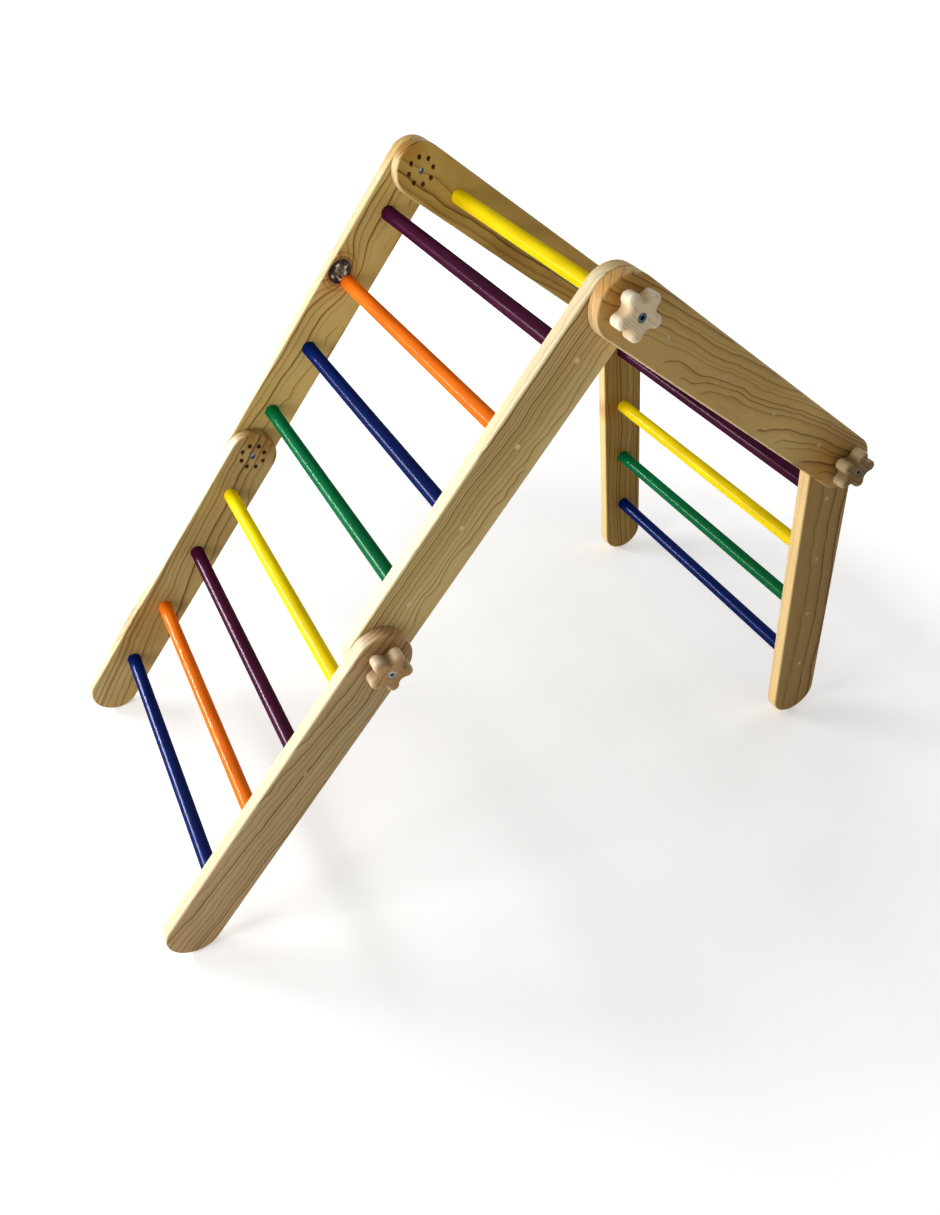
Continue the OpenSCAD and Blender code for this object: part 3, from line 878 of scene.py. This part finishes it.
def build_knob(joint, side_name, side, material):
    name = f"{joint}_{side_name}_knob"
    low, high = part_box(name)
    height = high.x - low.x
    tilt = section_tilt(outer_side(joint, side)[0])
    bm = bmesh.new()
    rim = bm.verts.layers.float.new("rim")
    shade = vector_layers(bm, "shade")[0]
    front = rounded_edge(*KNOB_FRONT_ROUND, KNOB_EDGE_STEPS)
    back = rounded_edge(*KNOB_BACK_ROUND, KNOB_EDGE_STEPS)
    edge = [(height - drop, inset) for drop, inset in front]
    edge += [(KNOB_BOSS_HEIGHT + drop, inset) for drop, inset in reversed(back)]
    star = [add_ring(bm, star_outline(inset), depth) for depth, inset in edge]
    boss = turned_rings(bm, (
        (KNOB_BOSS_HEIGHT, KNOB_BOSS_RADIUS), (KNOB_RIM, KNOB_BOSS_RADIUS),
        (0.0, KNOB_BOSS_RADIUS - KNOB_RIM),
    ), KNOB_STEPS)
    bore = turned_rings(bm, (
        (0.0, KNOB_BORE_RADIUS), (HEAD_SEAT, KNOB_BORE_RADIUS), (HEAD_SEAT, HEAD_BORE_RADIUS),
        (height - KNOB_RIM, HEAD_BORE_RADIUS), (height, HEAD_BORE_RADIUS + KNOB_RIM),
    ), KNOB_STEPS)
    for loops in (star, boss, bore):
        join_rows(bm, loops)
    fill_flat(bm, [star[0], bore[-1]])
    fill_flat(bm, [star[-1], boss[0]])
    fill_flat(bm, [boss[-1], bore[0]])
    own_shade, hollow_shade_loss, highlight_setting = KNOB_FINISHES[joint]
    for vert in bm.verts:
        vert[shade] = tuple(1.0 - level for level in own_shade)
    # Painted shade, with some darker end grain, in the hollows between the arms; the painted edge
    # highlight is weaker there too
    reaches = [math.hypot(*point) for point in star_outline(0.0)]
    deepest, farthest = min(reaches), max(reaches)
    for loop, (depth, inset) in zip(star, edge):
        for vert, reach in zip(loop, reaches):
            hollow = ((farthest - reach) / (farthest - deepest)) ** 1.5
            wall = 1.0 - inset / KNOB_FRONT_ROUND[0]
            vert[rim] = wall * (1.0 - 0.75 * hollow)
            vert[shade] = tuple(
                1.0 - level * (1.0 - loss * hollow * wall) for level, loss in zip(own_shade, hollow_shade_loss))
    serial = JOINTS.index(joint) * 2 + (side > 0)
    # The star was sawn with its grain along the rail
    bm.transform(Matrix.Rotation(math.radians(KNOB_TURNS[joint]) - tilt, 4, "X"))
    mark_wood(bm, KNOB_HEART, (KNOB_PLANK_STEP * serial, 0.0, 0.0), (1, 2, 0), highlight_setting)
    bm.transform(Matrix.Rotation(tilt, 4, "X"))
    set_at_joint(bm, joint, (low, high), side)
    knob = finish_mesh(bm, name + "_star", material, 35.0)
    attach(knob, name)
    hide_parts(name)


knob_tan = grained_wood("knob_wood_tan", (0.63, 0.42, 0.20), (0.30, 0.15, 0.055), 0.0008, 0.0035)
knob_ivory = grained_wood("knob_wood_ivory", (0.92, 0.81, 0.60), (0.74, 0.53, 0.33), 0.0006, 0.0035)
for joint, side_name, side in JOINT_SIDES:
    build_knob(joint, side_name, side, knob_ivory if joint == "top_joint" else knob_tan)


# Joint bolts.
# An 8 mm socket-head bolt is driven into each knob and screws into the insert in the inner rail.
# The bolts are zinc-plated, but the right-hand one at the top is black and the one at the leg is dull.

BOLT_RADIUS = 0.004
BOLT_CORE = 0.0034
BOLT_PITCH = 0.00125
BOLT_THREAD = 0.024
BOLT_HEAD_RADIUS = 0.0065
BOLT_HEAD_HEIGHT = 0.008
BOLT_HEX_WIDTH = 0.006
BOLT_HEX_DEPTH = 0.004
BOLT_HEAD_EASE = 0.0007
BOLT_STEPS = 36
BOLT_POINT = 0.0005
BOLT_THREAD_START = 0.0006
BOLT_THREAD_RUNOUT = 0.001
BOLT_SEAT_EASE = 0.0003


def build_bolt(joint, side_name, side, material):
    name = f"{joint}_{side_name}_bolt"
    low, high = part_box(name)
    length = high.x - low.x
    bm = bmesh.new()
    loops = [add_ring(bm, circle(BOLT_CORE - BOLT_POINT, BOLT_STEPS), 0.0)]
    loops += thread_rows(
        bm, BOLT_THREAD_START, BOLT_THREAD, BOLT_CORE, BOLT_RADIUS, BOLT_PITCH, BOLT_STEPS)
    seat = length - BOLT_HEAD_HEIGHT
    ease, part_ease = BOLT_HEAD_EASE, 0.3 * BOLT_HEAD_EASE
    loops += turned_rings(bm, (
        (BOLT_THREAD + BOLT_THREAD_RUNOUT, BOLT_RADIUS), (seat, BOLT_RADIUS),
        (seat, BOLT_HEAD_RADIUS - BOLT_SEAT_EASE), (seat + BOLT_SEAT_EASE, BOLT_HEAD_RADIUS),
        (length - ease, BOLT_HEAD_RADIUS), (length - part_ease, BOLT_HEAD_RADIUS - part_ease),
        (length, BOLT_HEAD_RADIUS - ease),
    ), BOLT_STEPS)
    join_rows(bm, loops)
    corner = BOLT_HEX_WIDTH / math.sqrt(3.0)
    hexagon = turned_rings(bm, ((length, corner), (length - BOLT_HEX_DEPTH, corner)), 6)
    join_rings(bm, *hexagon)
    bm.faces.new(hexagon[1])
    bm.faces.new(loops[0])
    fill_flat(bm, [loops[-1], hexagon[0]])
    mark_wood(bm)
    set_at_joint(bm, joint, (low, high), side)
    bolt = finish_mesh(bm, name + "_socket_head", material)
    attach(bolt, f"{joint}_{side_name}_knob")
    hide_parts(name)


zinc_bolt = steel("zinc_bolt", (0.32, 0.34, 0.34), 0.24, 0.3)
black_bolt = steel("black_bolt", (0.055, 0.085, 0.105), 0.22, 0.2)
dull_bolt = steel("dull_bolt", (0.105, 0.100, 0.080), 0.36, 0.4)
right_bolts = {"ramp_joint": zinc_bolt, "top_joint": black_bolt, "leg_joint": dull_bolt}
for joint, side_name, side in JOINT_SIDES:
    build_bolt(joint, side_name, side, right_bolts[joint] if side > 0 else zinc_bolt)


# Threaded inserts.
# A zinc-plated steel sleeve with a coarse outer thread is screwed into each inner rail, in the
# middle of its index ring, and takes the joint bolt.

INSERT_RADIUS = 0.006
INSERT_CORE = 0.0054
INSERT_PITCH = 0.0025
INSERT_BORE = 0.00408
INSERT_EASE = 0.0004
INSERT_STEPS = 40
INSERT_THREAD_MARGIN = 0.002


def build_insert(joint, side_name, side, material):
    name = f"{joint}_{side_name}_insert"
    low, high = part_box(name)
    length = high.x - low.x
    ease, margin = INSERT_EASE, INSERT_THREAD_MARGIN
    bm = bmesh.new()
    loops = turned_rings(bm, (
        (0.0, INSERT_BORE + ease), (0.0, INSERT_RADIUS - ease), (ease, INSERT_RADIUS),
    ), INSERT_STEPS)
    loops += thread_rows(
        bm, margin, length - margin, INSERT_CORE, INSERT_RADIUS, INSERT_PITCH, INSERT_STEPS)
    loops += turned_rings(bm, (
        (length - ease, INSERT_RADIUS), (length, INSERT_RADIUS - ease), (length, INSERT_BORE + ease),
        (length - ease, INSERT_BORE), (ease, INSERT_BORE),
    ), INSERT_STEPS)
    join_rows(bm, loops + loops[:1])
    mark_wood(bm)
    set_at_joint(bm, joint, (low, high), 1)
    insert = finish_mesh(bm, name + "_sleeve", material)
    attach(insert, SECTIONS[outer_side(joint, side)[1]])
    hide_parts(name)


zinc_insert = steel("zinc_insert", (0.24, 0.22, 0.19), 0.34, 0.5)
for joint_side in JOINT_SIDES:
    build_insert(*joint_side, zinc_insert)


# Locking pins.
# Two fluted beech dowels in each outer rail slide into two of the index holes of the rail beside
# it and hold the joint's angle. Drawn back, they let the section fold.

PIN_RADIUS = 0.004
PIN_FLUTE = 0.00022
PIN_FLUTES = 10
PIN_EASE = 0.0007
PIN_LENGTH = 0.020
PIN_HEART = (0.006, -0.011, 0.0016)
PIN_PLANK_STEP = 0.2


def build_pins(joint, side_name, side, material):
    name = f"{joint}_{side_name}_pins"
    low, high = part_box(name)
    tilt = section_tilt(outer_side(joint, side)[0])
    bm = bmesh.new()
    steps = 6 * PIN_FLUTES
    ease = PIN_EASE
    # Along the pin, how far its surface is drawn in, and whether it is fluted there
    end = [(0.0, ease, 0), (0.5 * ease, 0.2 * ease, 0), (ease, 0.0, 0), (2 * ease, 0.0, 1)]
    profile = end + [(PIN_LENGTH - x, inset, fluted) for x, inset, fluted in reversed(end)]
    for turn in (tilt, tilt + math.pi):
        spot = polar(INDEX_RING_RADIUS, turn)
        loops = []
        for x, inset, fluted in profile:
            points = []
            for i in range(steps):
                around = 2 * math.pi * i / steps
                flute = fluted * PIN_FLUTE * (0.5 + 0.5 * math.cos(PIN_FLUTES * around))
                points.append(polar(PIN_RADIUS - inset - flute, around, spot))
            loops.append(add_ring(bm, points, x))
        close_off(bm, loops)
    mark_wood(bm, PIN_HEART, (PIN_PLANK_STEP * JOINTS.index(joint), 0.0, 0.0))
    set_at_joint(bm, joint, (low, high), side)
    pins = finish_mesh(bm, name + "_dowels", material)
    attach(pins, name)
    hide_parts(name)


beech_dowel = grained_wood("beech_dowel", (0.66, 0.44, 0.24), (0.45, 0.27, 0.13), 0.0002, 0.0006)
for joint_side in JOINT_SIDES:
    build_pins(*joint_side, beech_dowel)


# Floor, light and camera.
# A pale, matt floor in a white room. Window light comes low from beyond the foot of the ramp, and
# weaker lamps fill in all round. The camera stands where the photo was taken from.

def seen_directly(nodes):
    """One for what the camera sees, also in reflections and through glass, and nothing for light."""
    path = nodes.add("ShaderNodeLightPath")
    mirrored = nodes.most(path.outputs["Is Glossy Ray"], path.outputs["Is Transmission Ray"])
    return nodes.most(path.outputs["Is Camera Ray"], mirrored)


def pale_floor():
    material, nodes, shader = new_material("pale_floor", {
        "Roughness": 0.9, "Specular IOR Level": 0.1, "Emission Color": (1.0, 1.0, 1.0)})
    place = nodes.add("ShaderNodeTexCoord").outputs["Object"]
    mottle = nodes.noise(place, 3.0, 3.0).outputs[0]
    paint = nodes.mix(mottle, (0.93, 0.93, 0.93), (0.96, 0.96, 0.955))
    away = nodes.vector("LENGTH", nodes.vector("SUBTRACT", place, (0.0, 0.1, 0.0)))
    whitening = nodes.times(nodes.spread(away, 0.7, 2.2, 0.27, 0.95), seen_directly(nodes))
    nodes.set(shader, {"Base Color": paint, "Emission Strength": whitening})
    return material


def flat_floor(name, material):
    """A square sheet, just under the feet."""
    bm = bmesh.new()
    bmesh.ops.create_grid(bm, x_segments=8, y_segments=8, size=30.0)
    bmesh.ops.translate(bm, verts=bm.verts, vec=(0.0, 0.0, -0.0005))
    mesh = bpy.data.meshes.new(name)
    bm.to_mesh(mesh)
    bm.free()
    mesh.materials.append(material)
    return new_object(name, mesh)


flat_floor("studio_floor", pale_floor())

scene = bpy.context.scene
scene.view_settings.view_transform = "Standard"
world = bpy.data.worlds.new("studio")
world.use_nodes = True
world.node_tree.nodes.clear()
sky = Nodes(world.node_tree)
room_light = sky.add("ShaderNodeBackground", {"Color": (1.0, 1.0, 1.0), "Strength": 0.31})
backdrop = sky.add("ShaderNodeBackground", {"Color": (1.0, 1.0, 1.0), "Strength": 1.0})
chosen = sky.add("ShaderNodeMixShader", {0: seen_directly(sky), 1: room_light, 2: backdrop})
sky.add("ShaderNodeOutputWorld", {"Surface": chosen})
scene.world = world


def softbox(name, place, target, size, power):
    """A rectangular lamp that faces its target, its first side as near as can be to the X axis."""
    lamp = bpy.data.lights.new(name, "AREA")
    lamp.shape = "RECTANGLE"
    lamp.size, lamp.size_y = size
    lamp.energy = power
    lamp_object = new_object(name, lamp)
    back = (Vector(place) - Vector(target)).normalized()
    across = (Vector((1.0, 0.0, 0.0)) - back.x * back).normalized()
    turn = Matrix((across, back.cross(across), back)).transposed().to_4x4()
    lamp_object.matrix_world = Matrix.Translation(place) @ turn
    return lamp_object


softbox("window_softbox", (-2.1, -2.3, 1.05), (-1.3, 0.0, 0.55), (1.7, 0.25), 52.0)
softbox("front_softbox", (0.35, -2.7, 1.0), (0.2, 0.0, 0.5), (1.0, 1.0), 42.0)
softbox("ceiling_softbox", (-1.1, -1.5, 2.5), (0.0, -0.1, 0.5), (1.1, 1.1), 10.0)
glint_card = softbox("glint_card", (-2.1, -2.3, 1.05), (0.05, -0.55, 0.10), (1.9, 0.8), 32.0)
glint_card.visible_diffuse = False
glint_card.data.spread = math.radians(36.0)
softbox("back_softbox", (-0.6, 3.0, 1.5), (0.0, 0.3, 0.5), (1.6, 1.2), 16.0)
softbox("fill_softbox", (1.5, -2.4, 1.0), (0.2, -0.4, 0.3), (1.2, 1.2), 5.0)

CAMERA_PLACE = Vector((1.30074, -0.64381, 1.46797))
CAMERA_FORWARD = Vector((-0.70061702, 0.31254344, -0.64144555))
CAMERA_UP = Vector((-0.57918874, 0.27594254, 0.76706982))
PHOTO_HEIGHT = 1215
PHOTO_MIDDLE = 470.0
FOCAL_PIXELS = 1018.57
AXIS_PIXEL = 419.13

camera = bpy.data.cameras.new("photo_camera")
camera.sensor_width = 36.0
camera.lens = FOCAL_PIXELS / PHOTO_HEIGHT * camera.sensor_width
camera.shift_x = (PHOTO_MIDDLE - AXIS_PIXEL) / PHOTO_HEIGHT
camera.clip_start = 0.05
right = CAMERA_FORWARD.cross(CAMERA_UP).normalized()
up = right.cross(CAMERA_FORWARD).normalized()
camera_object = new_object("photo_camera", camera)
facing = Matrix((right, up, -CAMERA_FORWARD)).transposed().to_4x4()
camera_object.matrix_world = Matrix.Translation(CAMERA_PLACE) @ facing
scene.camera = camera_object
